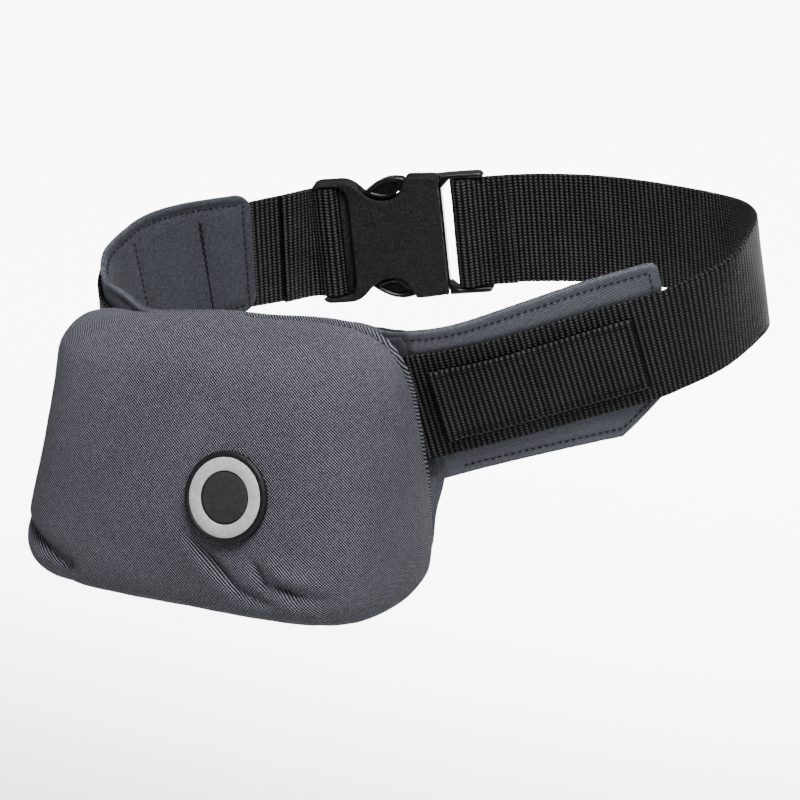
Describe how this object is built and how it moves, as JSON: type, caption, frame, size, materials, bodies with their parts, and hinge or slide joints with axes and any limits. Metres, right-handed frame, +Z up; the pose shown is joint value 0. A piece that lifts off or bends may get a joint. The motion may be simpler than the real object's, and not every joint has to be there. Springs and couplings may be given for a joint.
{
  "type": "inflatable belt pack",
  "caption": "Waist belt with a soft fabric pouch for a packed inflatable, padded wings, ribbed webbing and a side-release buckle, shown worn and fastened.",
  "frame": {"origin": "waist mount: the middle of the worn loop, level with the middle of the belt's height range", "axes": "+Z up, the pouch faces -Y, +X to the right as the pouch is looked at from the front"},
  "size_m": [0.2913, 0.2399, 0.1616],
  "materials": {
    "slate_cloth": "matt twill",
    "dark_cloth": "matt padded twill",
    "packed_cloth": "matt",
    "black_webbing": "ribbed weave",
    "black_plastic": "satin, lightly grained",
    "light_ring": "matt moulded"
  },
  "bodies": {
    "root": {"back_panel": "dark_cloth", "pouch_cover": "slate_cloth", "folded_bladder": "packed_cloth", "waist_webbing": "black_webbing", "webbing_patch": "black_webbing", "slot_binding": "dark_cloth", "buckle_socket": "black_plastic", "buckle_insert": "black_plastic", "badge_base": "black_plastic", "badge_ring": "light_ring"}
  },
  "joints": []
}
